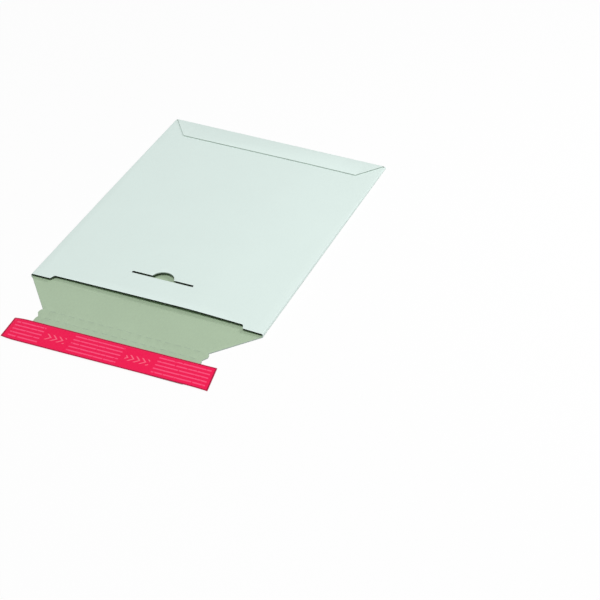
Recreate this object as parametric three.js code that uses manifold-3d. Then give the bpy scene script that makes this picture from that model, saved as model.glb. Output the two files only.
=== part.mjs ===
// A rigid mailing envelope of corrugated board, empty and lying on its back, with its closing flap open.
// Millimetres, +Z up. X runs across the mouth, and Y runs from the mouth to the closed far end.
// One die-cut blank makes the back panel, the two side folds, the top panel and the far end's glued flap.
// The closing flap is the same sheet past the mouth crease, and is a piece of its own because it swings.
import * as THREE from 'three';
import { mergeVertices } from 'three/addons/utils/BufferGeometryUtils.js';
import Module from 'manifold-3d';

const wasm = await Module();
wasm.setup();

// Sheet and pocket
const WIDTH = 245; // outside, side fold to side fold
const LENGTH = 325; // mouth crease to the far fold, outside
const BOARD = 1.2; // thickness of the board
const SIDE_GAP = 0.4; // air between the two panels at the side folds' far end
const SIDE_RISE = 1.9; // how far the side folds have sprung open at the mouth
const MOUTH_RISE = 2.45; // how far the mouth's highest place stands above its sides
const PEAK_X = 42; // that place, from the middle of the width
const BOW_POWER = 1.25; // 1 makes the top panel a tent, and more rounds its ridge
const FADE_POWER = 3; // higher keeps the pocket open for more of its length

// Mouth edge of the top panel
const TAB_WIDTH = 21; // each end of the mouth edge stays this wide at full length
const STEP_RUN = 3; // sideways run of the slanted step beside a tab
const RECESS_DEPTH = 5.6; // how far the mouth edge is cut back between the tabs

// Slit and thumb hole in the top panel
const SLIT_X = -1; // from the middle of the width
const SLIT_Y = 40.7; // from the mouth crease
const SLIT_LENGTH = 65;
const SLIT_WIDTH = 1;
const THUMB_RADIUS = 11.3;

// Far end: a flap of the back panel folded over the top panel and glued down
const FAR_FLAP = 30.3; // far fold to its cut edge
const MITRE_INSET = 21.6; // how far each end is cut in over that depth
const GLUE_SINK = 0.2; // the glued flap shares this much depth with the panel
const FOLD_LAP = 2; // the fold shares this much length with the back panel
const FOLD_SIDE_GAP = 0.3; // between each end of the far fold and the side fold beside it

// Closing flap
const CREASE_GAP = 0.3; // left between the flap and the back panel
const ROOT_INSET = 1; // the flap starts this far in from each side fold
const FLAP_REACH = 93; // mouth crease to the flap's outer edge
const TAPER_REACH = 43; // mouth crease to the end of the slanted sides
const NECK_WIDTH = 172; // width of the flap past the slanted sides
const FLAP_CORNER = 4; // radius of the outer corners

// Tear strip between two rows of cuts, with a finger tab at each end
const TEAR_WIDTH = 11.5;
const TEAR_TAB_OUT = 2.3; // how far a finger tab stands out past the neck
const NOTCH_DEPTH = 1; // how far the notch beside a tab cuts into the neck
const NOTCH_WIDTH = 4.8;
const CUT_LENGTH = 6;
const CUT_WIDTH = 0.6;
const CUT_PITCH = 10;

// Adhesive strip and the release liner that covers it
const ADHESIVE_WIDTH = 25;
const ADHESIVE_THICKNESS = 0.25;
const ADHESIVE_SIDE_MARGIN = 2; // from each side edge of the flap
const ADHESIVE_EDGE_MARGIN = 2.5; // from the flap's outer edge
const LINER_LENGTH = 207;
const LINER_WIDTH = 33.3;
const LINER_THICKNESS = 0.25;
const LINER_X = 2.4; // the liner sits this far to the right of the flap's middle
const LINER_SKEW = 1.1; // degrees, from lying dead straight
const LINER_END_SLANT = 4.7; // the right end is torn off at a slant, longer at the outer edge
const LINER_EDGE_OVERHANG = 2.5; // past the flap's outer edge
const LINER_LEFT_CURL = 1.4; // lift of the outer left corner
const LINER_LEFT_DROOP = 1.4; // sag of the inner left corner
const LINER_RIGHT_DROOP = 0.8; // sag of the outer right corner
const FILM_CLEARANCE = 0.05; // between the board, the adhesive and the liner

// Fineness of the meshes
const ACROSS_STEPS = 16;
const ALONG_STEPS = 20;
const ARC_SEGMENTS = 4;
const LINER_LONG_STEPS = 32;
const LINER_WIDE_STEPS = 4;
const CUT_PAST = 5; // how far a cutter reaches past what it cuts
const MERGE_TOLERANCE = 1e-5; // points closer than this are one

// Sizes that follow from the ones above
const SIDE_HEIGHT = 2 * BOARD + SIDE_GAP;
const SIDE_RADIUS = SIDE_HEIGHT / 2;
const FAR_HEIGHT = SIDE_HEIGHT + BOARD;
const FAR_RADIUS = FAR_HEIGHT / 2;
const POCKET_MIDDLE = BOARD + SIDE_GAP / 2;
const POCKET_HALF_WIDTH = WIDTH / 2 - BOARD;
const FLAT_HALF_WIDTH = WIDTH / 2 - SIDE_RADIUS;
const FAR_TURN = LENGTH - FAR_RADIUS;
const SEAM_Y = LENGTH - FAR_FLAP;

// Height that opening the pocket adds to the top panel at a place. It fades to nothing at the far fold.
function panelRise(x, y) {
  const reach = WIDTH / 2 - PEAK_X * Math.sign(x - PEAK_X);
  const across = 1 - Math.min(1, Math.abs(x - PEAK_X) / reach) ** BOW_POWER;
  const along = 1 - Math.min(1, Math.max(0, y / LENGTH)) ** FADE_POWER;
  return (SIDE_RISE + MOUTH_RISE * across) * along;
}

// Lifts the top panel and leaves the back panel flat. The side folds stretch between the two.
function bowUp(geometry) {
  const position = geometry.attributes.position;
  for (let i = 0; i < position.count; i += 1) {
    const z = position.getZ(i);
    const share = Math.min(1, Math.max(0, (z - BOARD) / SIDE_GAP));
    position.setZ(i, z + share * panelRise(position.getX(i), position.getY(i)));
  }
  return geometry;
}

function toSolid(geometry) {
  geometry.deleteAttribute('normal');
  geometry.deleteAttribute('uv');
  const merged = mergeVertices(geometry, MERGE_TOLERANCE);
  const vertProperties = new Float32Array(merged.attributes.position.array);
  const triVerts = new Uint32Array(merged.index.array);
  return new wasm.Manifold(new wasm.Mesh({ numProp: 3, vertProperties, triVerts }));
}

function toGeometry(solid) {
  const mesh = solid.getMesh();
  const geometry = new THREE.BufferGeometry();
  geometry.setAttribute('position', new THREE.BufferAttribute(mesh.vertProperties, 3));
  geometry.setIndex(new THREE.BufferAttribute(mesh.triVerts, 1));
  geometry.computeVertexNormals();
  return geometry;
}

function extrude(shape, depth, steps = 1) {
  const options = { depth, steps, bevelEnabled: false, curveSegments: ARC_SEGMENTS };
  return new THREE.ExtrudeGeometry(shape, options);
}

// A section drawn in X and Z, swept along Y from one place to another.
function sweepAlongY(section, from, to, steps) {
  const geometry = extrude(section, to - from, steps);
  geometry.rotateX(Math.PI / 2);
  geometry.translate(0, to, 0);
  return geometry;
}

// A section drawn in Y and Z, swept along X to both sides of the middle.
function sweepAlongX(section, halfWidth, steps) {
  const geometry = extrude(section, 2 * halfWidth, steps);
  geometry.translate(0, 0, -halfWidth);
  const basis = new THREE.Matrix4().makeBasis(
    new THREE.Vector3(0, 1, 0),
    new THREE.Vector3(0, 0, 1),
    new THREE.Vector3(1, 0, 0),
  );
  geometry.applyMatrix4(basis);
  return geometry;
}

// A cutter for the top panel alone: an outline drawn in X and Y, from inside the pocket upwards.
function topCutter(shape) {
  const geometry = extrude(shape, SIDE_RISE + MOUTH_RISE + FAR_HEIGHT + CUT_PAST);
  geometry.translate(0, 0, POCKET_MIDDLE);
  return toSolid(geometry);
}

// Back panel, side folds and top panel, as one flat tube with the pocket inside it. The panels stop where
// the far fold starts, and the side folds run on past it to the far end.
function panelTube() {
  const section = new THREE.Shape();
  section.moveTo(-FLAT_HALF_WIDTH, 0);
  section.lineTo(FLAT_HALF_WIDTH, 0);
  section.absarc(FLAT_HALF_WIDTH, SIDE_RADIUS, SIDE_RADIUS, -Math.PI / 2, Math.PI / 2, false);
  for (let i = 1; i < ACROSS_STEPS; i += 1) {
    const share = i / ACROSS_STEPS;
    section.lineTo(FLAT_HALF_WIDTH * (1 - 2 * share), SIDE_HEIGHT);
  }
  section.absarc(-FLAT_HALF_WIDTH, SIDE_RADIUS, SIDE_RADIUS, Math.PI / 2, 1.5 * Math.PI, false);

  const pocket = new THREE.Path();
  pocket.moveTo(-POCKET_HALF_WIDTH, BOARD);
  pocket.lineTo(POCKET_HALF_WIDTH, BOARD);
  for (let i = 0; i <= ACROSS_STEPS; i += 1) {
    const share = i / ACROSS_STEPS;
    pocket.lineTo(POCKET_HALF_WIDTH * (1 - 2 * share), BOARD + SIDE_GAP);
  }
  pocket.lineTo(-POCKET_HALF_WIDTH, BOARD);
  section.holes.push(pocket);

  const tube = toSolid(bowUp(sweepAlongY(section, CREASE_GAP / 2, LENGTH, ALONG_STEPS)));
  const room = FAR_RADIUS + CUT_PAST;
  const end = new THREE.BoxGeometry(2 * POCKET_HALF_WIDTH, room, 2 * (FAR_HEIGHT + CUT_PAST));
  end.translate(0, FAR_TURN + room / 2, 0);
  return tube.subtract(toSolid(end));
}

// The board turns round the far end and comes back over the top panel, with both ends cut to a mitre.
function farFold() {
  const under = SIDE_HEIGHT - GLUE_SINK;
  const section = new THREE.Shape();
  section.moveTo(FAR_TURN - FOLD_LAP, 0);
  section.lineTo(FAR_TURN, 0);
  section.absarc(FAR_TURN, FAR_RADIUS, FAR_RADIUS, -Math.PI / 2, Math.PI / 2, false);
  section.lineTo(SEAM_Y, FAR_HEIGHT);
  section.lineTo(SEAM_Y, under);
  section.lineTo(FAR_TURN - FOLD_LAP, under);
  section.lineTo(FAR_TURN, SIDE_HEIGHT);
  section.absarc(FAR_TURN, FAR_RADIUS, FAR_RADIUS - BOARD, Math.PI / 2, -Math.PI / 2, true);
  section.lineTo(FAR_TURN - FOLD_LAP, BOARD);

  const half = POCKET_HALF_WIDTH - FOLD_SIDE_GAP;
  let fold = toSolid(bowUp(sweepAlongX(section, half, ACROSS_STEPS)));
  for (const side of [-1, 1]) {
    const waste = new THREE.Shape();
    waste.moveTo(side * half, LENGTH);
    waste.lineTo(side * (half - MITRE_INSET), SEAM_Y);
    waste.lineTo(side * (half - MITRE_INSET), SEAM_Y - CUT_PAST);
    waste.lineTo(side * (half + CUT_PAST), SEAM_Y - CUT_PAST);
    waste.lineTo(side * (half + CUT_PAST), LENGTH);
    fold = fold.subtract(topCutter(waste));
  }
  return fold;
}

// The mouth edge is cut back between two tabs, each with a slanted step beside it.
function mouthRecess() {
  const foot = WIDTH / 2 - TAB_WIDTH;
  const head = foot - STEP_RUN;
  const middle = (foot + head) / 2;
  const shape = new THREE.Shape();
  shape.moveTo(-foot, -CUT_PAST);
  shape.lineTo(foot, -CUT_PAST);
  shape.lineTo(foot, 0);
  shape.quadraticCurveTo(middle, RECESS_DEPTH, head, RECESS_DEPTH);
  shape.lineTo(-head, RECESS_DEPTH);
  shape.quadraticCurveTo(-middle, RECESS_DEPTH, -foot, 0);
  return topCutter(shape);
}

function slit() {
  const left = SLIT_X - SLIT_LENGTH / 2;
  const near = SLIT_Y - SLIT_WIDTH / 2;
  const shape = new THREE.Shape();
  shape.moveTo(left, near);
  shape.lineTo(left + SLIT_LENGTH, near);
  shape.lineTo(left + SLIT_LENGTH, near + SLIT_WIDTH);
  shape.lineTo(left, near + SLIT_WIDTH);
  return topCutter(shape);
}

// A half-round on the far side of the slit, for a thumb.
function thumbHole() {
  const shape = new THREE.Shape();
  shape.moveTo(SLIT_X + THUMB_RADIUS, SLIT_Y);
  shape.absarc(SLIT_X, SLIT_Y, THUMB_RADIUS, 0, Math.PI, false);
  return topCutter(shape);
}

function envelopeBody() {
  const sheet = panelTube().add(farFold());
  return toGeometry(sheet.subtract(mouthRecess()).subtract(slit()).subtract(thumbHole()));
}

// One side of the flap's outline, from the mouth crease out to the middle of the outer edge.
function flapSide() {
  const neck = NECK_WIDTH / 2;
  const tab = neck + TEAR_TAB_OUT;
  const tearEnd = TAPER_REACH + TEAR_WIDTH;
  const side = new THREE.Path();
  side.moveTo(WIDTH / 2 - ROOT_INSET, -CREASE_GAP / 2);
  side.lineTo(neck, -TAPER_REACH);
  side.quadraticCurveTo(tab, -TAPER_REACH, tab, -(TAPER_REACH + TEAR_WIDTH / 2));
  side.lineTo(neck - NOTCH_DEPTH, -tearEnd);
  side.lineTo(neck, -(tearEnd + NOTCH_WIDTH / 2));
  side.lineTo(neck, -(FLAP_REACH - FLAP_CORNER));
  side.absarc(neck - FLAP_CORNER, -(FLAP_REACH - FLAP_CORNER), FLAP_CORNER, 0, -Math.PI / 2, true);
  return side.getPoints(ARC_SEGMENTS);
}

// A row of short cuts right through the flap, centred on its width.
function cutRow(reach) {
  const count = Math.floor((NECK_WIDTH - CUT_PITCH) / CUT_PITCH);
  const cuts = [];
  for (let i = 0; i < count; i += 1) {
    const x = (i - (count - 1) / 2) * CUT_PITCH;
    const cut = new THREE.BoxGeometry(CUT_LENGTH, CUT_WIDTH, BOARD + 2 * CUT_PAST);
    cut.translate(x, -reach, 0);
    cuts.push(toSolid(cut));
  }
  return cuts;
}

function closingFlap() {
  const right = flapSide();
  const left = right.map((point) => new THREE.Vector2(-point.x, point.y)).reverse();
  let flap = toSolid(extrude(new THREE.Shape([...right, ...left]), BOARD));
  for (const cut of [...cutRow(TAPER_REACH), ...cutRow(TAPER_REACH + TEAR_WIDTH)]) {
    flap = flap.subtract(cut);
  }
  return toGeometry(flap);
}

function adhesiveStrip() {
  const length = NECK_WIDTH - 2 * ADHESIVE_SIDE_MARGIN;
  const middle = -(FLAP_REACH - ADHESIVE_EDGE_MARGIN - ADHESIVE_WIDTH / 2);
  const strip = new THREE.BoxGeometry(length, ADHESIVE_WIDTH, ADHESIVE_THICKNESS);
  strip.translate(0, middle, BOARD + FILM_CLEARANCE + ADHESIVE_THICKNESS / 2);
  return strip;
}

// How far the liner lifts off at a place along its length and across its width. The stretch over the flap
// lies flat. The left end twists, with its outer corner up and its inner one down, and the right end sags.
function linerLift(along, across) {
  const flatLeft = -NECK_WIDTH / 2 - LINER_X;
  const flatRight = NECK_WIDTH / 2 - LINER_X;
  const pastLeft = Math.max(0, flatLeft - along) / (LINER_LENGTH / 2 + flatLeft);
  const pastRight = Math.max(0, along - flatRight) / (LINER_LENGTH / 2 - flatRight);
  const outwards = 0.5 - across / LINER_WIDTH;
  const leftTwist = LINER_LEFT_CURL * outwards - LINER_LEFT_DROOP * (1 - outwards);
  return leftTwist * pastLeft ** 2 - LINER_RIGHT_DROOP * outwards * Math.min(1, pastRight) ** 2;
}

function releaseLiner() {
  const liner = new THREE.BoxGeometry(
    LINER_LENGTH,
    LINER_WIDTH,
    LINER_THICKNESS,
    LINER_LONG_STEPS,
    LINER_WIDE_STEPS,
    1,
  );
  const position = liner.attributes.position;
  for (let i = 0; i < position.count; i += 1) {
    const along = position.getX(i);
    const across = position.getY(i);
    position.setZ(i, position.getZ(i) + linerLift(along, across));
    const pastMiddle = Math.max(0, (2 * along) / LINER_LENGTH);
    position.setX(i, along - LINER_END_SLANT * (across / LINER_WIDTH) * pastMiddle);
  }
  const seat = BOARD + FILM_CLEARANCE + ADHESIVE_THICKNESS + FILM_CLEARANCE;
  liner.rotateZ(THREE.MathUtils.degToRad(LINER_SKEW));
  liner.translate(LINER_X, -(FLAP_REACH + LINER_EDGE_OVERHANG - LINER_WIDTH / 2), seat + LINER_THICKNESS / 2);
  return liner;
}

function piece(name, geometry, color, roughness) {
  const material = new THREE.MeshStandardMaterial({ color, roughness, metalness: 0 });
  const mesh = new THREE.Mesh(geometry, material);
  mesh.name = name;
  return mesh;
}

const envelope = new THREE.Group();
envelope.add(piece('envelope_body', envelopeBody(), 0xdde9e4, 0.75));
envelope.add(piece('closing_flap', closingFlap(), 0xacbfa6, 0.85));
envelope.add(piece('adhesive_strip', adhesiveStrip(), 0xd8d4c0, 0.35));
envelope.add(piece('release_liner', releaseLiner(), 0xf0204a, 0.4));

// The origin is at the middle of the underside of the whole part's box.
const box = new THREE.Box3().setFromObject(envelope);
const middle = box.getCenter(new THREE.Vector3());
envelope.position.set(-middle.x, -middle.y, -box.min.z);

export default envelope;
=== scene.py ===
# %% [markdown]
# # A rigid board envelope
# The envelope is one sheet of fine corrugated board, cut flat with a die, folded round a pocket and glued.
# A red liner covers the adhesive on its closing flap. The imported model gives every size and place, so it
# is loaded first.

# %% Load the frame
import math

import bmesh
import bpy
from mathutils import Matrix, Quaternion, Vector
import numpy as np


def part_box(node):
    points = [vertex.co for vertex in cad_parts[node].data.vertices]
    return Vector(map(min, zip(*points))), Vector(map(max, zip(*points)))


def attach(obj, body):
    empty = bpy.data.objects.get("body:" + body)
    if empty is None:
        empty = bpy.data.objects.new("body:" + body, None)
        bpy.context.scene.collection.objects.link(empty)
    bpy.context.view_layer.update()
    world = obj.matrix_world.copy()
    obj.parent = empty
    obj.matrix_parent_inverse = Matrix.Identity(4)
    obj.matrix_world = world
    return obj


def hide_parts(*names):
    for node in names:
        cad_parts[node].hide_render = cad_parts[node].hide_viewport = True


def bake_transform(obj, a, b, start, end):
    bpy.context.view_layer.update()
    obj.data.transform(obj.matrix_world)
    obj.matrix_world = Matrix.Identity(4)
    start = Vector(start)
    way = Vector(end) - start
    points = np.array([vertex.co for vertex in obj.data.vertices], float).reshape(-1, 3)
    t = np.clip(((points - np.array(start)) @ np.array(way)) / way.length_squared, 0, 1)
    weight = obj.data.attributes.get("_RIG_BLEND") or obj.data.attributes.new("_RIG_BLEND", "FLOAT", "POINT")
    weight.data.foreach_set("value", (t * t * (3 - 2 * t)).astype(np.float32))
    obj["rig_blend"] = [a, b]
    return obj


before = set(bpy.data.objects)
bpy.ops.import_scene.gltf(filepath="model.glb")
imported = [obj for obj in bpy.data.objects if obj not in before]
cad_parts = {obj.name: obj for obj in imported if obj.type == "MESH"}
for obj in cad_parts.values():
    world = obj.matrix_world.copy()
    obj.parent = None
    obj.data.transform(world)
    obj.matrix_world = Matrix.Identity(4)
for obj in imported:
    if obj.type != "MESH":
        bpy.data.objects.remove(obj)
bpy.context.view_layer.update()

# %% [markdown]
# ## Sizes
# Most sizes can be read off the nodes' boxes. The rest are the blank's own cuts and folds, which a box
# can't tell, so they are written here as real sizes.

# %% Sizes
MM = 0.001
body_low, body_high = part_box("envelope_body")
flap_low, flap_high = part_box("closing_flap")

BOARD = flap_high.z - flap_low.z
CREASE_Y = (body_low.y + flap_high.y) / 2
FAR_Y = body_high.y
HALF_WIDTH = body_high.x
LENGTH = FAR_Y - CREASE_Y
SIDE_GAP = 0.4 * MM
SIDE_HEIGHT = 2 * BOARD + SIDE_GAP
SIDE_RADIUS = SIDE_HEIGHT / 2
FAR_RADIUS = (SIDE_HEIGHT + BOARD) / 2
SIDE_RISE = 1.9 * MM
MOUTH_RISE = 2.45 * MM
PEAK_X = 42 * MM
BOW_POWER = 1.25
FADE_POWER = 3
FLAT_HALF = HALF_WIDTH - SIDE_RADIUS
FAR_TURN = FAR_Y - FAR_RADIUS
print(f"board {BOARD / MM:.2f} mm, mouth opened {(SIDE_RISE + MOUTH_RISE) / MM:.2f} mm at its highest")

# %% [markdown]
# ## Camera
# The camera comes before the model, because every later look depends on it. Fitting the top panel's four
# corners in perspective gave its place and its aim. A long lens keeps the panel's edges nearly parallel.

# %% Camera
CAMERA_PLACE = Vector((698.6, -1447.1, 1090.5)) * MM
CAMERA_AIM = Vector((130.3, -43.3, 0)) * MM
CAMERA_ROLL = math.radians(1.01)
CAMERA_LENS = 117
CAMERA_SENSOR = 36

camera_data = bpy.data.cameras.new("camera")
camera_data.lens = CAMERA_LENS
camera_data.sensor_width = CAMERA_SENSOR
camera = bpy.data.objects.new("camera", camera_data)
bpy.context.scene.collection.objects.link(camera)
look = (CAMERA_AIM - CAMERA_PLACE).to_track_quat("-Z", "Y")
camera.rotation_mode = "QUATERNION"
camera.rotation_quaternion = look @ Quaternion((0, 0, 1), CAMERA_ROLL)
camera.location = CAMERA_PLACE
bpy.context.scene.camera = camera
bpy.context.scene.view_settings.view_transform = "Standard"
print("camera stands", round((CAMERA_AIM - CAMERA_PLACE).length, 3), "m from its aim")

# %% [markdown]
# ## How the flat blank folds
# A real envelope is cut flat and folded afterwards, and a model can be made the same way. Every hole and
# notch is easy to cut in a flat sheet, and one function then says where each point goes. A point is given
# by its place on the sheet and its depth, which is 0 on the white face and BOARD on the grey one.

# %% Fold function
TURN_LENGTH = math.pi * SIDE_RADIUS
FAR_TURN_LENGTH = math.pi * FAR_RADIUS
TOP_SHIFT = 2 * FLAT_HALF + TURN_LENGTH
BLANK_END = TOP_SHIFT + FLAT_HALF + TURN_LENGTH
TINY = 1e-7


def panel_rise(x, y):
    """Height that opening the pocket adds to the top panel. It fades to nothing at the far fold."""
    reach = HALF_WIDTH - math.copysign(PEAK_X, x - PEAK_X)
    across = 1 - min(1, abs(x - PEAK_X) / reach) ** BOW_POWER
    along = 1 - min(1, max(0, y - CREASE_Y) / LENGTH) ** FADE_POWER
    return (SIDE_RISE + MOUTH_RISE * across) * along


def turn(past, depth, radius):
    """Steps forward and up for a point this far past a half-turn fold's first line."""
    if past < math.pi * radius:
        angle = past / radius
        return (radius - depth) * math.sin(angle), radius - (radius - depth) * math.cos(angle)
    return math.pi * radius - past, 2 * radius - depth


def fold(place):
    """Where a point of the flat blank goes when the blank is folded. Each half-turn takes up the rise
    of the top panel bit by bit, from nothing on the back panel."""
    x, y, z = place
    if x > TOP_SHIFT + FLAT_HALF:
        past = x - TOP_SHIFT - FLAT_HALF
        forward, up = turn(past, z, SIDE_RADIUS)
        x, z = -FLAT_HALF - forward, SIDE_HEIGHT - up
        share = 1 - past / TURN_LENGTH
    elif x > FLAT_HALF - TINY:
        past = x - FLAT_HALF
        forward, up = turn(past, z, SIDE_RADIUS)
        x, z = FLAT_HALF + forward, up
        share = min(1, past / TURN_LENGTH)
    elif y > FAR_TURN:
        past = y - FAR_TURN
        forward, up = turn(past, z, FAR_RADIUS)
        y, z = FAR_TURN + forward, up
        share = min(1, past / FAR_TURN_LENGTH)
    else:
        return Vector((x, y, z))
    eased = share * share * (3 - 2 * share)
    return Vector((x, y, z + eased * panel_rise(x, y)))


print("blank is", round((BLANK_END + FLAT_HALF) / MM, 1), "mm across the four panels and folds")

# %% [markdown]
# ## The blank's outline
# The outline is drawn as a chain of corners, with arcs and curves only where the die is rounded. It runs
# down the left side of the closing flap, up its right side, along the top panel's mouth edge, and round
# the far end's glued flap, whose ends are cut to a mitre.

# %% Outline helpers
CURVE_STEPS = 10


def curve(start, control, end):
    """Points of a curve that leaves start towards control and reaches end from it."""
    shares = [i / CURVE_STEPS for i in range(CURVE_STEPS + 1)]
    return [
        (
            (1 - t) ** 2 * start[0] + 2 * t * (1 - t) * control[0] + t * t * end[0],
            (1 - t) ** 2 * start[1] + 2 * t * (1 - t) * control[1] + t * t * end[1],
        )
        for t in shares
    ]


def arc(centre, radius, first, last, steps=CURVE_STEPS):
    """Points of an arc between two angles in degrees."""
    angles = [math.radians(first + (last - first) * i / steps) for i in range(steps + 1)]
    return [(centre[0] + radius * math.cos(a), centre[1] + radius * math.sin(a)) for a in angles]


def rectangle(left, right, near, far):
    return [(left, near), (right, near), (right, far), (left, far)]


def add_loop(bm, points):
    """A closed chain of edges through the points, in the plane of the white face."""
    corners = [bm.verts.new((x, y, 0)) for x, y in points]
    return [bm.edges.new((a, b)) for a, b in zip(corners, corners[1:] + corners[:1])]


# %% Closing flap's side
TAPER_REACH = 43 * MM
NECK_HALF = 86 * MM
TEAR_WIDTH = 11.5 * MM
TEAR_TAB_OUT = 2.3 * MM
NOTCH_DEPTH = 1 * MM
NOTCH_WIDTH = 4.8 * MM
FLAP_CORNER = 4 * MM
flap_edge = flap_low.y
taper_y = CREASE_Y - TAPER_REACH
tear_y = taper_y - TEAR_WIDTH


def flap_side():
    """The flap's right side, from the crease out to the middle of its outer edge."""
    tab = NECK_HALF + TEAR_TAB_OUT
    side = [(FLAT_HALF, CREASE_Y)]
    side += curve((NECK_HALF, taper_y), (tab, taper_y), (tab, taper_y - TEAR_WIDTH / 2))
    side += [(NECK_HALF - NOTCH_DEPTH, tear_y), (NECK_HALF, tear_y - NOTCH_WIDTH / 2)]
    side += arc((NECK_HALF - FLAP_CORNER, flap_edge + FLAP_CORNER), FLAP_CORNER, 0, -90)
    return side


print(len(flap_side()), "points down one side of the flap")

# %% Whole outline
TAB_WIDTH = 21 * MM
STEP_RUN = 3 * MM
RECESS_DEPTH = 5.6 * MM
FAR_FLAP = 30.3 * MM
MITRE_INSET = 21.6 * MM
FAR_CLEARANCE = 0.3 * MM
FAR_HALF = HALF_WIDTH - BOARD - FAR_CLEARANCE
step_foot = HALF_WIDTH - TAB_WIDTH
step_head = step_foot - STEP_RUN
recess_y = CREASE_Y + RECESS_DEPTH


def mouth_edge():
    """The top panel's mouth edge on the flat blank, from its right tab to its left one."""
    middle = (step_foot + step_head) / 2
    right = curve((step_foot, CREASE_Y), (middle, recess_y), (step_head, recess_y))
    left = [(-x, y) for x, y in reversed(right)]
    return [(TOP_SHIFT - x, y) for x, y in right + left]


def far_flap_side():
    """The glued flap's right end on the flat blank, from the far fold out to its cut edge."""
    slope = MITRE_INSET / FAR_FLAP
    return [
        (FAR_HALF, FAR_TURN),
        (FAR_HALF, FAR_TURN + FAR_TURN_LENGTH / 2),
        (FAR_HALF - slope * FAR_RADIUS, FAR_TURN + FAR_TURN_LENGTH),
        (FAR_HALF - MITRE_INSET, FAR_TURN + FAR_TURN_LENGTH + FAR_FLAP - FAR_RADIUS),
    ]


def side_fold_ends():
    """The side folds run on past the top panel, to the far end. On the blank they are two short tongues."""
    tongues = [(BLANK_END, CREASE_Y)]
    for last, first in ((BLANK_END, TOP_SHIFT + FLAT_HALF), (FLAT_HALF + TURN_LENGTH, FLAT_HALF)):
        tongues += [(last, FAR_TURN), (last, FAR_Y), (first, FAR_Y), (first, FAR_TURN)]
    return tongues


def blank_outline():
    left_flap = [(-x, y) for x, y in flap_side()]
    left_far = [(-x, y) for x, y in reversed(far_flap_side())]
    outline = left_flap + list(reversed(flap_side()))
    outline += mouth_edge() + side_fold_ends()
    return outline + far_flap_side() + left_far + [(-FLAT_HALF, FAR_TURN)]


print(len(blank_outline()), "points round the blank")

# %% [markdown]
# ## Holes in the blank
# The top panel has a long knife slit with a half-round thumb hole on its far side. The closing flap has two
# rows of short cuts, and the strip between them tears out to open a sealed envelope.

# %% Holes
SLIT_X = -1 * MM
SLIT_Y = CREASE_Y + 40.7 * MM
SLIT_LENGTH = 65 * MM
SLIT_WIDTH = 2.8 * MM
THUMB_RADIUS = 11.3 * MM
THUMB_STEPS = 28
CUT_LENGTH = 6 * MM
CUT_WIDTH = 0.18 * MM
CUT_PITCH = 10 * MM


def thumb_outline():
    """Slit and thumb hole as one hole, placed on the flat top panel."""
    near, far = SLIT_Y - SLIT_WIDTH / 2, SLIT_Y + SLIT_WIDTH / 2
    lean = math.degrees(math.asin(SLIT_WIDTH / 2 / THUMB_RADIUS))
    left, right = SLIT_X - SLIT_LENGTH / 2, SLIT_X + SLIT_LENGTH / 2
    points = [(left, far), (left, near), (right, near), (right, far)]
    points += arc((SLIT_X, SLIT_Y), THUMB_RADIUS, lean, 180 - lean, THUMB_STEPS)
    return [(TOP_SHIFT - x, y) for x, y in points]


def cut_outlines(y):
    """A row of short cuts right across the flap's neck."""
    count = int((2 * NECK_HALF - CUT_PITCH) / CUT_PITCH)
    middles = [(i - (count - 1) / 2) * CUT_PITCH for i in range(count)]
    half, wide = CUT_LENGTH / 2, CUT_WIDTH / 2
    return [rectangle(x - half, x + half, y - wide, y + wide) for x in middles]


print(len(cut_outlines(tear_y)), "cuts in a row")

# %% [markdown]
# ## Cutting the sheet
# A fill turns the outline and its holes into faces. They are far too long to bend, so planes are passed
# through the sheet: close together where it folds, further apart where it only bows. Extruding the sheet
# gives it its thickness, and a fine bevel takes the hardness off every cut edge.

# %% Fill and slice
BOW_STEPS_ACROSS = 28
BOW_STEPS_ALONG = 30
FOLD_STEPS = 10
SCORE_HALF = 0.9 * MM
SCORE_STEPS = 4
BEND_RUN = 5 * MM
BEND_STEPS = 20


def spread(first, last, steps):
    return [first + (last - first) * i / steps for i in range(steps + 1)]


def slice_sheet(bm, places, axis):
    """Cuts the whole sheet along planes across one axis, without taking anything away."""
    normal = Vector((1, 0, 0)) if axis == 0 else Vector((0, 1, 0))
    for place in places:
        geom = bm.verts[:] + bm.edges[:] + bm.faces[:]
        bmesh.ops.bisect_plane(bm, geom=geom, plane_co=normal * place, plane_no=normal, dist=TINY)


def cut_flat_sheet():
    bm = bmesh.new()
    edges = add_loop(bm, blank_outline()) + add_loop(bm, thumb_outline())
    for y in (taper_y, tear_y):
        for outline in cut_outlines(y):
            edges += add_loop(bm, outline)
    bmesh.ops.triangle_fill(bm, use_beauty=True, edges=edges, normal=(0, 0, 1))
    slice_sheet(bm, spread(FLAT_HALF, FLAT_HALF + TURN_LENGTH, FOLD_STEPS), 0)
    slice_sheet(bm, spread(FLAT_HALF + TURN_LENGTH, TOP_SHIFT + FLAT_HALF, BOW_STEPS_ACROSS), 0)
    slice_sheet(bm, spread(TOP_SHIFT + FLAT_HALF, BLANK_END, FOLD_STEPS), 0)
    slice_sheet(bm, spread(-FLAT_HALF, FLAT_HALF, BOW_STEPS_ACROSS), 0)
    slice_sheet(bm, spread(CREASE_Y - BEND_RUN, CREASE_Y, BEND_STEPS), 1)
    slice_sheet(bm, spread(CREASE_Y, CREASE_Y + SCORE_HALF, SCORE_STEPS), 1)
    slice_sheet(bm, spread(recess_y, FAR_TURN, BOW_STEPS_ALONG), 1)
    slice_sheet(bm, spread(FAR_TURN, FAR_TURN + FAR_TURN_LENGTH, FOLD_STEPS), 1)
    return bm


sheet = cut_flat_sheet()
print(len(sheet.faces), "faces in the flat sheet")

# %% Thickness and soft cut edges
EDGE_SOFTNESS = 0.1 * MM
EDGE_SEGMENTS = 2
SHARP_ANGLE = math.radians(60)
NEAR = 1e-6


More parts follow.
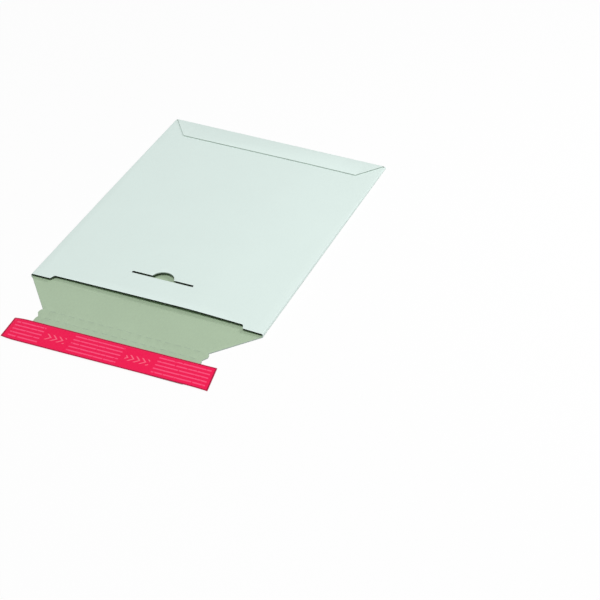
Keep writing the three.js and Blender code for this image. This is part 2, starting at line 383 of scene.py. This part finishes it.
def on_glue_line(face):
    """True on the two rims that meet when the blank is closed into a tube."""
    if not all(CREASE_Y - NEAR < v.co.y < FAR_TURN + NEAR for v in face.verts):
        return False
    return any(all(abs(v.co.x - rim) < NEAR for v in face.verts) for rim in (-FLAT_HALF, BLANK_END))


def thicken(bm, thickness):
    """Extrudes a thin sheet upwards into a closed solid."""
    geom = bm.faces[:] + bm.edges[:] + bm.verts[:]
    made = bmesh.ops.extrude_face_region(bm, geom=geom, use_keep_orig=True)["geom"]
    lifted = [g for g in made if isinstance(g, bmesh.types.BMVert)]
    bmesh.ops.translate(bm, vec=(0, 0, thickness), verts=lifted)
    bmesh.ops.recalc_face_normals(bm, faces=bm.faces[:])


def open_glue_line(bm):
    """Takes the two rims away, so that the faces beside them can meet when the blank is folded."""
    rims = [f for f in bm.faces if on_glue_line(f)]
    bmesh.ops.delete(bm, geom=rims, context="FACES_ONLY")


def soften_cut_edges(bm):
    sharp = [e for e in bm.edges if len(e.link_faces) == 2 and e.calc_face_angle() > SHARP_ANGLE]
    rim = [e for e in sharp if abs(e.verts[0].co.z - e.verts[1].co.z) < TINY]
    bmesh.ops.bevel(
        bm, geom=rim, offset=EDGE_SOFTNESS, segments=EDGE_SEGMENTS, profile=0.5, affect="EDGES", material=-1
    )


thicken(sheet, BOARD)
open_glue_line(sheet)
soften_cut_edges(sheet)
print(len(sheet.faces), "faces with thickness")

# %% [markdown]
# ## Face by face
# One sheet shows four finishes: the white face, the grey face, the open cut edge and the pressed edge. The
# die presses the edges of both flaps shut, folding crushes the side folds' ends, and use wears the thumb
# hole soft. Each face is sorted while the sheet is still flat, because then its direction and depth tell
# which it is. A map keeps each point's place on the blank for the materials.

# %% Sort the faces
FINISHES = ("white", "grey", "edge", "pressed")
WHITE, GREY, EDGE, PRESSED = range(len(FINISHES))
FOLD_CRUSHED = 0.7 * TURN_LENGTH
FACES_UP = 0.5


def in_thumb_hole(place):
    """True round the thumb hole's rim, whose board is worn soft and pale."""
    middle = Vector((TOP_SHIFT - SLIT_X, SLIT_Y))
    return place.y > SLIT_Y + SLIT_WIDTH and (place.xy - middle).length < 2 * THUMB_RADIUS


def in_side_fold(place):
    """True on the lower part of both side folds, whose cut ends are crushed by the folding."""
    right = FLAT_HALF - NEAR < place.x < FLAT_HALF + FOLD_CRUSHED
    left = BLANK_END - FOLD_CRUSHED < place.x < BLANK_END + NEAR
    return right or left


def on_a_flap(place):
    return place.y > FAR_TURN or place.y < CREASE_Y - NEAR


def sort_faces(bm):
    for face in bm.faces:
        centre = face.calc_center_median()
        if abs(face.normal.z) > FACES_UP:
            face.material_index = WHITE if centre.z < BOARD / 2 else GREY
        elif on_a_flap(centre) or in_thumb_hole(centre) or in_side_fold(centre):
            face.material_index = PRESSED
        else:
            # Open cut edges take the material that is painted dark as shade.
            face.material_index = EDGE


def write_map(bm, name):
    """Writes each point's place across and along the flat sheet as a map in metres."""
    uv_layer = bm.loops.layers.uv.new(name)
    for face in bm.faces:
        for loop in face.loops:
            loop[uv_layer].uv = (loop.vert.co.x, loop.vert.co.y)


def write_depth(bm):
    """Writes each point's depth as a share of the board."""
    depth_layer = bm.verts.layers.float.new("depth")
    for vert in bm.verts:
        vert[depth_layer] = vert.co.z / BOARD


sort_faces(sheet)
write_map(sheet, "Blank")
write_depth(sheet)
print({name: sum(f.material_index == i for f in sheet.faces) for i, name in enumerate(FINISHES)})

# %% [markdown]
# ## Folding
# Each crease is scored before it is folded, which leaves a shallow groove. The mouth crease gets one on its
# grey face. Then every point is moved by the fold function, and the tube is closed where its rims meet.

# %% Fold the sheet
SCORE_DEPTH = 0.1 * MM
MERGE_DISTANCE = 2e-6
SMOOTH_ANGLE = math.radians(30)


def score_mouth(bm):
    """Presses a groove with soft sides into the grey face, where the closing flap joins the back panel."""
    for vert in bm.verts:
        share = abs(vert.co.y - CREASE_Y) / SCORE_HALF
        if vert.co.x < FLAT_HALF and vert.co.z > BOARD / 2 and share < 1:
            vert.co.z -= SCORE_DEPTH * (1 + math.cos(math.pi * share)) / 2


def finish_mesh(bm, name):
    """Turns a bmesh into an object at the origin, smooth except across sharp edges."""
    mesh = bpy.data.meshes.new(name)
    bm.to_mesh(mesh)
    bm.free()
    for polygon in mesh.polygons:
        polygon.use_smooth = True
    mesh.set_sharp_from_angle(angle=SMOOTH_ANGLE)
    piece = bpy.data.objects.new(name, mesh)
    bpy.context.scene.collection.objects.link(piece)
    return piece


score_mouth(sheet)
for vert in sheet.verts:
    vert.co = fold(vert.co)
bmesh.ops.remove_doubles(sheet, verts=sheet.verts[:], dist=MERGE_DISTANCE)
board = finish_mesh(sheet, "folded_board")
print(len(board.data.polygons), "faces in the folded board")

# %% [markdown]
# The sheet is stiff on both sides of the mouth crease and turns there. Riding on two bodies with a short
# blend between them does that: the crease bends as the flap swings, and the sheet never tears.

# %% Hang the board on the frame
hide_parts("envelope_body", "closing_flap")
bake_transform(board, "envelope", "flap", start=(0, CREASE_Y, 0), end=(0, CREASE_Y - BEND_RUN, 0))

# %% [markdown]
# ## Release liner
# The liner is a thin film, laid on a little crooked, that lies flat on the adhesive and lifts at its free
# ends. A grid is enough: it is lifted by a formula, given its thickness, then turned and moved into place.

# %% Release liner
LINER_LENGTH = 207 * MM
LINER_WIDTH = 33.3 * MM
LINER_FILM = 0.16 * MM
LINER_SKEW = math.radians(1.1)
LINER_X = 2.4 * MM
LINER_REACH = 78.85 * MM
LINER_END_SLANT = 4.7 * MM
LINER_LEFT_SLANT = 3 * MM
LINER_LEFT_CURL = 1.4 * MM
LINER_LEFT_DROOP = 1.4 * MM
LINER_RIGHT_DROOP = 0.8 * MM
FILM_CLEARANCE = 0.05 * MM
FILM_STEPS_ALONG = 104
FILM_STEPS_ACROSS = 16
adhesive_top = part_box("adhesive_strip")[1].z
liner_seat = Vector((LINER_X, CREASE_Y - LINER_REACH, adhesive_top + FILM_CLEARANCE))


def liner_lift(along, across):
    """How far the film lifts off, from its place along its length and across its width. The left end
    twists, with its outer corner up and its inner one down, and the right end sags."""
    flat_left, flat_right = -NECK_HALF - LINER_X, NECK_HALF - LINER_X
    past_left = max(0, flat_left - along) / (LINER_LENGTH / 2 + flat_left)
    past_right = min(1, max(0, along - flat_right) / (LINER_LENGTH / 2 - flat_right))
    outwards = 0.5 - across / LINER_WIDTH
    left_twist = LINER_LEFT_CURL * outwards - LINER_LEFT_DROOP * (1 - outwards)
    return left_twist * past_left**2 - LINER_RIGHT_DROOP * outwards * past_right**2


def slant_ends(along, across):
    """Both ends are torn off at a slant. The film is longer at its outer edge on the right, and at its
    inner edge on the left."""
    right, left = max(0, 2 * along / LINER_LENGTH), max(0, -2 * along / LINER_LENGTH)
    inwards = across / LINER_WIDTH + 0.5
    return along - LINER_END_SLANT * (inwards - 0.5) * right - LINER_LEFT_SLANT * inwards * left


def make_liner():
    bm = bmesh.new()
    bmesh.ops.create_grid(bm, x_segments=FILM_STEPS_ALONG, y_segments=FILM_STEPS_ACROSS, size=0.5)
    bmesh.ops.scale(bm, vec=(LINER_LENGTH, LINER_WIDTH, 1), verts=bm.verts[:])
    write_map(bm, "Film")
    for vert in bm.verts:
        vert.co.z = liner_lift(vert.co.x, vert.co.y)
        vert.co.x = slant_ends(vert.co.x, vert.co.y)
    thicken(bm, LINER_FILM)
    skew = Quaternion((0, 0, 1), LINER_SKEW).to_matrix()
    bmesh.ops.rotate(bm, cent=(0, 0, 0), matrix=skew, verts=bm.verts[:])
    bmesh.ops.translate(bm, vec=liner_seat, verts=bm.verts[:])
    return finish_mesh(bm, "peel_off_liner")


liner = make_liner()
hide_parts("release_liner")
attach(liner, "flap")
print("liner box", [round(c / MM, 1) for c in liner.dimensions], "mm")

# %% [markdown]
# ## Shared effects
# Paper has a cloudy tone and a fine fibre, and every board here shows both, so they are a node group with
# named inputs. A second group gives the faint ridges that the wave inside the board presses through.

# %% Group helpers
# A Mix node has sockets for every kind of value, and those for colours can only be told by number.
MIX_FIRST, MIX_SECOND, MIX_RESULT = 6, 7, 2


def new_group(name, inputs, outputs):
    """A node group with named sockets. Inputs are (name, kind, default), outputs are (name, kind)."""
    group = bpy.data.node_groups.new(name, "ShaderNodeTree")
    for label, kind, value in inputs:
        socket = group.interface.new_socket(label, in_out="INPUT", socket_type=kind)
        if value is not None:
            socket.default_value = value
    for label, kind in outputs:
        group.interface.new_socket(label, in_out="OUTPUT", socket_type=kind)
    return group, group.nodes.new("NodeGroupInput"), group.nodes.new("NodeGroupOutput")


def maths(tree, operation, a, b=None):
    """A Math node. Each operand is a number or a socket."""
    node = tree.nodes.new("ShaderNodeMath")
    node.operation = operation
    for slot, operand in enumerate((a, b)):
        if isinstance(operand, (int, float)):
            node.inputs[slot].default_value = operand
        elif operand is not None:
            tree.links.new(operand, node.inputs[slot])
    return node.outputs[0]


def mix_colour(tree, share, a, b):
    """A Mix node for colours. share, a and b are values or sockets."""
    node = tree.nodes.new("ShaderNodeMix")
    node.data_type = "RGBA"
    for key, value in (("Factor", share), (MIX_FIRST, a), (MIX_SECOND, b)):
        if hasattr(value, "links"):
            tree.links.new(value, node.inputs[key])
        else:
            node.inputs[key].default_value = value
    return node.outputs[MIX_RESULT]


def noise(tree, vector, scale, detail, stretch=(1, 1, 1)):
    """A noise pattern. Where stretch is under 1, it is drawn out along that axis."""
    mapping = tree.nodes.new("ShaderNodeMapping")
    mapping.inputs["Scale"].default_value = stretch
    tree.links.new(vector, mapping.inputs["Vector"])
    node = tree.nodes.new("ShaderNodeTexNoise")
    node.inputs["Detail"].default_value = detail
    node.inputs["Scale"].default_value = scale
    tree.links.new(mapping.outputs["Vector"], node.inputs["Vector"])
    return node.outputs["Fac"]


# %% Paper group
FLOAT, COLOUR, VECTOR = "NodeSocketFloat", "NodeSocketColor", "NodeSocketVector"
GRAIN_ROUGHNESS = 1.5
SPECK_HEIGHT = 0.6


def make_paper_group():
    inputs = [
        ("Vector", VECTOR, None),
        ("Colour", COLOUR, (0.7, 0.7, 0.7, 1)),
        ("Cloud Strength", FLOAT, 0.03),
        ("Fibre Strength", FLOAT, 0.03),
        ("Roughness", FLOAT, 0.8),
    ]
    outputs = [("Colour", COLOUR), ("Roughness", FLOAT), ("Height", FLOAT)]
    group, into, out = new_group("Paper", inputs, outputs)
    cloud = noise(group, into.outputs["Vector"], scale=22.0, detail=4.0)
    fibre = noise(group, into.outputs["Vector"], scale=900.0, detail=2.0, stretch=(1, 0.25, 1))
    speck = noise(group, into.outputs["Vector"], scale=2600.0, detail=1.0)
    tone = maths(group, "MULTIPLY", maths(group, "SUBTRACT", cloud, 0.5), into.outputs["Cloud Strength"])
    grain = maths(group, "MULTIPLY", maths(group, "SUBTRACT", fibre, 0.5), into.outputs["Fibre Strength"])
    level = maths(group, "ADD", maths(group, "ADD", tone, grain), 1.0)
    scaled = group.nodes.new("ShaderNodeVectorMath")
    scaled.operation = "SCALE"
    group.links.new(into.outputs["Colour"], scaled.inputs[0])
    group.links.new(level, scaled.inputs["Scale"])
    group.links.new(scaled.outputs[0], out.inputs["Colour"])
    rough = maths(group, "ADD", into.outputs["Roughness"], maths(group, "MULTIPLY", grain, GRAIN_ROUGHNESS))
    group.links.new(rough, out.inputs["Roughness"])
    height = maths(group, "ADD", fibre, maths(group, "MULTIPLY", speck, SPECK_HEIGHT))
    group.links.new(height, out.inputs["Height"])
    return group


paper_group = make_paper_group()
print("paper group inputs", [s.name for s in paper_group.interface.items_tree if s.in_out == "INPUT"])

# %% Flute group
FLUTE_PITCH = 2.4 * MM


def make_flute_group():
    """Ridges that run from the mouth to the far end, one for each wave inside the board."""
    inputs = [("Vector", VECTOR, None), ("Pitch", FLOAT, FLUTE_PITCH)]
    group, into, out = new_group("Flutes", inputs, [("Height", FLOAT)])
    axes = group.nodes.new("ShaderNodeSeparateXYZ")
    group.links.new(into.outputs["Vector"], axes.inputs[0])
    turns = maths(group, "DIVIDE", axes.outputs["X"], into.outputs["Pitch"])
    wave = maths(group, "SINE", maths(group, "MULTIPLY", turns, 2 * math.pi))
    drift = noise(group, into.outputs["Vector"], scale=60.0, detail=2.0)
    group.links.new(maths(group, "MULTIPLY", wave, drift), out.inputs["Height"])
    return group


flute_group = make_flute_group()
print("flute group has", len(flute_group.nodes), "nodes")

# %% [markdown]
# ## Board finishes
# The outside of the board is lined with smooth white paper, and the inside is bare grey-green pulp. Both use
# the paper group with their own strengths. The white face takes a little gloss, and the grey one none.

# %% Board materials
WHITE_COLOUR = (0.715, 0.83, 0.79, 1)
GREY_COLOUR = (0.405, 0.52, 0.37, 1)
FIBRE_RELIEF = 0.012 * MM


def new_material(name):
    material = bpy.data.materials.new(name)
    material.use_nodes = True
    return material, material.node_tree, material.node_tree.nodes["Principled BSDF"]


def place_group(tree, group, **values):
    """A node that runs a group. Each value's name is its input's name, with _ for a space."""
    node = tree.nodes.new("ShaderNodeGroup")
    node.node_tree = group
    for label, value in values.items():
        node.inputs[label.replace("_", " ")].default_value = value
    return node


def bump(tree, height, distance, shader, strength=1.0, normal=None):
    node = tree.nodes.new("ShaderNodeBump")
    node.inputs["Strength"].default_value = strength
    node.inputs["Distance"].default_value = distance
    tree.links.new(height, node.inputs["Height"])
    if normal is not None:
        tree.links.new(normal, node.inputs["Normal"])
    tree.links.new(node.outputs["Normal"], shader.inputs["Normal"])
    return node.outputs["Normal"]


def board_material(name, colour, cloud, fibre, roughness, ridge):
    material, tree, shader = new_material(name)
    place = tree.nodes.new("ShaderNodeTexCoord").outputs["Object"]
    paper = place_group(
        tree, paper_group, Colour=colour, Cloud_Strength=cloud, Fibre_Strength=fibre, Roughness=roughness
    )
    flutes = place_group(tree, flute_group, Pitch=FLUTE_PITCH)
    for node in (paper, flutes):
        tree.links.new(place, node.inputs["Vector"])
    tree.links.new(paper.outputs["Colour"], shader.inputs["Base Color"])
    tree.links.new(paper.outputs["Roughness"], shader.inputs["Roughness"])
    ridged = bump(tree, flutes.outputs["Height"], ridge, shader)
    bump(tree, paper.outputs["Height"], FIBRE_RELIEF, shader, normal=ridged)
    shader.inputs["Specular IOR Level"].default_value = 0.3
    return material


white_face = board_material(
    "White lined face", WHITE_COLOUR, cloud=0.03, fibre=0.03, roughness=0.62, ridge=0.02 * MM
)
grey_face = board_material(
    "Grey pulp face", GREY_COLOUR, cloud=0.09, fibre=0.16, roughness=0.9, ridge=0.03 * MM
)
print("made", white_face.name, "and", grey_face.name)

# %% [markdown]
# A cut edge of corrugated board shows two thin liners with a wave of paper between them and hollows between
# them. The whole edge is painted shade: the hollows nearly black, and the liners and wave far darker than
# their own mid-grey. The depth attribute gives the place through the thickness, and the map gives the place
# along it.

# %% Edge materials
LINER_SHARE = 0.16
WAVE_SHARE = 0.12
HOLLOW_DEPTH = 0.2 * MM
# Both edge colours are painted shade, far darker than the real board's cut edge.
HOLLOW_SHADE_COLOUR = (0.004, 0.005, 0.004, 1)
PULP_SHADE_COLOUR = (0.013, 0.018, 0.014, 1)
PRESSED_COLOUR = (0.36, 0.43, 0.39, 1)


def shaded_edge_material():
    material, tree, shader = new_material("Open cut edge in painted shade")
    attribute = tree.nodes.new("ShaderNodeAttribute")
    attribute.attribute_name = "depth"
    depth = attribute.outputs["Fac"]
    blank = tree.nodes.new("ShaderNodeUVMap")
    blank.uv_map = "Blank"
    axes = tree.nodes.new("ShaderNodeSeparateXYZ")
    tree.links.new(blank.outputs["UV"], axes.inputs[0])
    along = maths(tree, "ADD", axes.outputs["X"], axes.outputs["Y"])
    wave = maths(tree, "SINE", maths(tree, "MULTIPLY", along, 2 * math.pi / FLUTE_PITCH))
    middle = maths(tree, "ADD", maths(tree, "MULTIPLY", wave, 0.5 - LINER_SHARE), 0.5)
    off_wave = maths(tree, "ABSOLUTE", maths(tree, "SUBTRACT", depth, middle))
    on_wave = maths(tree, "LESS_THAN", off_wave, WAVE_SHARE)
    off_middle = maths(tree, "ABSOLUTE", maths(tree, "SUBTRACT", depth, 0.5))
    on_liner = maths(tree, "GREATER_THAN", off_middle, 0.5 - LINER_SHARE)
    paper_here = maths(tree, "MAXIMUM", on_wave, on_liner)
    colour = mix_colour(tree, paper_here, HOLLOW_SHADE_COLOUR, PULP_SHADE_COLOUR)
    tree.links.new(colour, shader.inputs["Base Color"])
    shader.inputs["Roughness"].default_value = 0.95
    shader.inputs["Specular IOR Level"].default_value = 0.1
    bump(tree, paper_here, HOLLOW_DEPTH, shader, strength=0.6)
    return material


shaded_open_edge = shaded_edge_material()
pressed_edge = board_material(
    "Pressed cut edge", PRESSED_COLOUR, cloud=0.1, fibre=0.3, roughness=0.9, ridge=0.01 * MM
)
for material in (white_face, grey_face, shaded_open_edge, pressed_edge):
    board.data.materials.append(material)
print("board materials", [m.name for m in board.data.materials])

# %% [markdown]
# ## Film finish
# The liner is a red release film, smooth and faintly shiny, with blocks of fine pale print. Real print would
# be lettering, so rows of broken strokes stand for it, and plain chevrons fill the places between blocks.
# Blocks and gaps differ in length, so each is given by the place of its middle and its half length.

# %% Liner material
FILM_COLOUR = (0.87, 0.008, 0.082, 1)
PRINT_COLOUR = (0.95, 0.08, 0.2, 1)
MARK_COLOUR = (0.95, 0.13, 0.22, 1)
# The rim colour is painted shade, a darker band along the film's sides and ends.
RIM_SHADE_COLOUR = (0.42, 0.006, 0.05, 1)
RIM_SHADE_WIDTH = 1.5 * MM
ROWS = 5
ROW_PITCH = 5.4 * MM
ROW_SHARE = 0.34
STROKE_LEVEL = 0.38
PRINT_HALF = ROWS * ROW_PITCH / 2
BLOCKS = ((-83.5 * MM, 15 * MM), (-13.5 * MM, 25 * MM), (73 * MM, 26.5 * MM))
GAPS = ((-54.5 * MM, 10 * MM), (28.5 * MM, 12 * MM))
MARK_HALF = 4.5 * MM
CHEVRON_PITCH = 6 * MM
CHEVRON_SHARE = 0.3
WRINKLE_RELIEF = 0.15 * MM


def any_stretch(tree, along, stretches):
    """A mask that is 1 on each of the given stretches of the film's length."""
    total = None
    for middle, half in stretches:
        off = maths(tree, "ABSOLUTE", maths(tree, "SUBTRACT", along, middle))
        inside = maths(tree, "LESS_THAN", off, half)
        total = inside if total is None else maths(tree, "MAXIMUM", total, inside)
    return total


def liner_material():
    material, tree, shader = new_material("Red release film")
    film = tree.nodes.new("ShaderNodeUVMap")
    film.uv_map = "Film"
    axes = tree.nodes.new("ShaderNodeSeparateXYZ")
    tree.links.new(film.outputs["UV"], axes.inputs[0])
    along, across = axes.outputs["X"], axes.outputs["Y"]
    distance = maths(tree, "ABSOLUTE", across)

    row = maths(tree, "DIVIDE", maths(tree, "ADD", across, PRINT_HALF), ROW_PITCH)
    off_row = maths(tree, "ABSOLUTE", maths(tree, "SUBTRACT", maths(tree, "FRACT", row), 0.5))
    in_row = maths(tree, "LESS_THAN", off_row, ROW_SHARE / 2)
    in_row = maths(tree, "MULTIPLY", in_row, maths(tree, "LESS_THAN", distance, PRINT_HALF))
    strokes = noise(tree, film.outputs["UV"], scale=420.0, detail=2.0, stretch=(1, 0.5, 1))
    stroke = maths(tree, "GREATER_THAN", strokes, STROKE_LEVEL)
    text = maths(tree, "MULTIPLY", maths(tree, "MULTIPLY", in_row, stroke), any_stretch(tree, along, BLOCKS))

    slanted = maths(tree, "DIVIDE", maths(tree, "ADD", along, distance), CHEVRON_PITCH)
    chevron = maths(tree, "LESS_THAN", maths(tree, "FRACT", slanted), CHEVRON_SHARE)
    chevron = maths(tree, "MULTIPLY", chevron, maths(tree, "LESS_THAN", distance, MARK_HALF))
    mark = maths(tree, "MULTIPLY", chevron, any_stretch(tree, along, GAPS))
    # The rim masks mark the band of painted shade along the film's sides and ends.
    side_rim_shade = maths(tree, "GREATER_THAN", distance, LINER_WIDTH / 2 - RIM_SHADE_WIDTH)
    end_rim_shade = maths(tree, "GREATER_THAN", maths(tree, "ABSOLUTE", along), LINER_LENGTH / 2 - RIM_SHADE_WIDTH)
    rim = maths(tree, "MAXIMUM", side_rim_shade, end_rim_shade)

    colour = mix_colour(tree, text, FILM_COLOUR, PRINT_COLOUR)
    colour = mix_colour(tree, mark, colour, MARK_COLOUR)
    colour = mix_colour(tree, rim, colour, RIM_SHADE_COLOUR)
    tree.links.new(colour, shader.inputs["Base Color"])
    wrinkle = noise(tree, film.outputs["UV"], scale=90.0, detail=2.0, stretch=(1, 0.3, 1))
    bump(tree, wrinkle, WRINKLE_RELIEF, shader, strength=0.5)
    shader.inputs["Roughness"].default_value = 0.42
    shader.inputs["Specular IOR Level"].default_value = 0.12
    return material


liner.data.materials.append(liner_material())
print("liner material", [m.name for m in liner.data.materials])

# %% [markdown]
# ## Adhesive
# The adhesive is a thin band of hot melt under the liner. Its CAD node has the right shape, so it stays, and
# only gets a material: clear yellowish glue with a soft ripple from the roller.

# %% Adhesive material
GLUE_DARK = (0.62, 0.58, 0.42, 1)
GLUE_PALE = (0.74, 0.71, 0.56, 1)
RIPPLE_RELIEF = 0.1 * MM


def adhesive_material():
    material, tree, shader = new_material("Hot-melt adhesive")
    place = tree.nodes.new("ShaderNodeTexCoord").outputs["Object"]
    ripple = noise(tree, place, scale=120.0, detail=2.0, stretch=(1, 4, 1))
    colour = mix_colour(tree, ripple, GLUE_DARK, GLUE_PALE)
    tree.links.new(colour, shader.inputs["Base Color"])
    bump(tree, ripple, RIPPLE_RELIEF, shader)
    shader.inputs["Roughness"].default_value = 0.18
    return material


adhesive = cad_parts["adhesive_strip"]
adhesive.data.materials.clear()
adhesive.data.materials.append(adhesive_material())
print("adhesive keeps its node", adhesive.name)

# %% [markdown]
# ## Floor and light
# The photograph's ground is plain white. The floor is a pale surface that keeps the object's shadow, and it
# looks nearly white to the camera because part of it glows for camera rays alone. A large lamp high in
# front shines into the mouth, a small weak one stands close by on the right, and an even world fills the
# rest.

# %% Floor
FLOOR_COLOUR = (0.9, 0.9, 0.9, 1)
FLOOR_HALF = 4
FLOOR_GLOW = 0.9
FLOOR_DROP = 0.05 * MM  # keeps the floor and the back panel from lying in one plane


def make_floor():
    bm = bmesh.new()
    bmesh.ops.create_grid(bm, x_segments=1, y_segments=1, size=FLOOR_HALF)
    bmesh.ops.translate(bm, vec=(0, 0, -FLOOR_DROP), verts=bm.verts[:])
    floor = finish_mesh(bm, "floor")
    material, tree, shader = new_material("Pale floor")
    shader.inputs["Base Color"].default_value = FLOOR_COLOUR
    shader.inputs["Roughness"].default_value = 0.9
    shader.inputs["Specular IOR Level"].default_value = 0.0
    glow = tree.nodes.new("ShaderNodeEmission")
    blend = tree.nodes.new("ShaderNodeMixShader")
    rays = tree.nodes.new("ShaderNodeLightPath")
    seen = maths(tree, "MULTIPLY", rays.outputs["Is Camera Ray"], FLOOR_GLOW)
    tree.links.new(seen, blend.inputs[0])
    tree.links.new(shader.outputs[0], blend.inputs[1])
    tree.links.new(glow.outputs[0], blend.inputs[2])
    tree.links.new(blend.outputs[0], tree.nodes["Material Output"].inputs["Surface"])
    floor.data.materials.append(material)
    return floor


floor = make_floor()
print("floor is", 2 * FLOOR_HALF, "m wide")

# %% Light
WORLD_LEVEL = 0.18
KEY_PLACE = Vector((1.2, -5.4, 8.6))
KEY_SIZE = 3
KEY_POWER = 747
FILL_PLACE = Vector((0.7, 0.35, 0.9))
FILL_SIZE = 0.7
FILL_POWER = 4


def make_world():
    world = bpy.data.worlds.new("studio")
    world.use_nodes = True
    tree = world.node_tree
    back = tree.nodes["Background"]
    rays = tree.nodes.new("ShaderNodeLightPath")
    seen = maths(tree, "MAXIMUM", rays.outputs["Is Camera Ray"], rays.outputs["Is Glossy Ray"])
    seen = maths(tree, "MAXIMUM", seen, rays.outputs["Is Transmission Ray"])
    level = maths(tree, "ADD", maths(tree, "MULTIPLY", seen, 1 - WORLD_LEVEL), WORLD_LEVEL)
    back.inputs["Color"].default_value = (1, 1, 1, 1)
    tree.links.new(level, back.inputs["Strength"])
    bpy.context.scene.world = world


def make_lamp(name, place, size, power):
    lamp_data = bpy.data.lights.new(name, "AREA")
    lamp_data.shape = "DISK"
    lamp_data.size = size
    lamp_data.energy = power
    lamp = bpy.data.objects.new(name, lamp_data)
    lamp.location = place
    lamp.rotation_mode = "QUATERNION"
    lamp.rotation_quaternion = (-place).to_track_quat("-Z", "Y")
    bpy.context.scene.collection.objects.link(lamp)


make_world()
make_lamp("key", KEY_PLACE, KEY_SIZE, KEY_POWER)
make_lamp("fill", FILL_PLACE, FILL_SIZE, FILL_POWER)
print("world", WORLD_LEVEL, "with lamps of", KEY_POWER, "and", FILL_POWER, "W")
